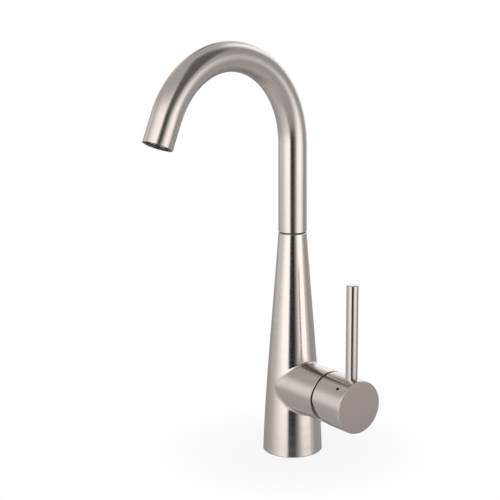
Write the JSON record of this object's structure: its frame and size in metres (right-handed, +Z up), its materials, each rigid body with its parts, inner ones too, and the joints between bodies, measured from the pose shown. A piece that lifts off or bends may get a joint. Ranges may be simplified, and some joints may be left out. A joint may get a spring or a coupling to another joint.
{
  "type": "bar faucet",
  "caption": "Gooseneck bar faucet: conical body, swivel spout with a high arch, and a side handle cap with an upright lever.",
  "frame": {"origin": "centre of the base's underside, on the deck plane, at the mouth of the threaded shank socket", "axes": "+Z up, -Y to the front, towards the sink and the spout, +X along the handle branch"},
  "size_m": [0.1178, 0.1895, 0.3665],
  "materials": {
    "satin_steel": "brushed satin stainless steel",
    "bright_steel": "plain turned steel",
    "screw_steel": "dark steel",
    "brass": "machined brass",
    "copper": "drawn copper tube",
    "rubber": "black rubber",
    "dark_plastic": "dark low-friction plastic",
    "white_plastic": "white moulded plastic",
    "blue_plastic": "blue moulded plastic",
    "ceramic": "polished alumina ceramic"
  },
  "bodies": {
    "body": {"body_shell": "satin_steel", "base_insert": "brass", "base_gasket": "rubber", "valve_body": "brass", "cold_inlet_tube": "copper", "hot_inlet_tube": "copper", "mixed_water_tube": "copper", "upper_slide_ring": "dark_plastic", "lower_slide_ring": "white_plastic", "cartridge_base": "white_plastic", "cold_port_seal": "rubber", "hot_port_seal": "rubber", "outlet_port_seal": "rubber", "disc_gasket": "rubber", "fixed_disc": "ceramic", "cartridge_housing": "white_plastic", "temperature_stop": "blue_plastic", "cartridge_nut": "brass", "dome_ring": "rubber", "trim_dome": "satin_steel"},
    "spout": {"spout_tube": "satin_steel", "spout_nipple": "brass", "upper_nipple_seal": "rubber", "lower_nipple_seal": "rubber", "snap_ring": "bright_steel", "outlet_bush": "bright_steel", "aerator_washer": "rubber", "aerator_jet_plate": "blue_plastic", "aerator_shell": "dark_plastic", "aerator_grid": "dark_plastic"},
    "cartridge_rotor": {"rotor": "white_plastic", "stem_pin": "bright_steel"},
    "handle": {"stem": "bright_steel", "handle_cap": "satin_steel", "lever_rod": "satin_steel", "set_screw": "screw_steel"},
    "disc": {"moving_disc": "ceramic", "disc_carrier": "blue_plastic"}
  },
  "joints": [
    {"name": "spout_swivel", "type": "hinge", "parent": "body", "child": "spout", "pos_m": [0, 0, 0.2], "axis": [0, 0, 1], "continuous": true},
    {"name": "temperature_turn", "type": "hinge", "parent": "body", "child": "cartridge_rotor", "pos_m": [0.048, 0, 0.0625], "axis": [1, 0, 0], "range_deg": [-45, 45]},
    {"name": "flow_tilt", "type": "hinge", "parent": "cartridge_rotor", "child": "handle", "pos_m": [0.048, 0, 0.0625], "axis": [0, 1, 0], "range_deg": [0, 25]},
    {"name": "disc_travel", "type": "slide", "parent": "cartridge_rotor", "child": "disc", "axis": [0, 0, 1], "range_m": [0, 0.0052]}
  ],
  "couplings": [
    {"joint": "disc_travel", "follows": "flow_tilt", "m_per_rad": 0.011623}
  ]
}
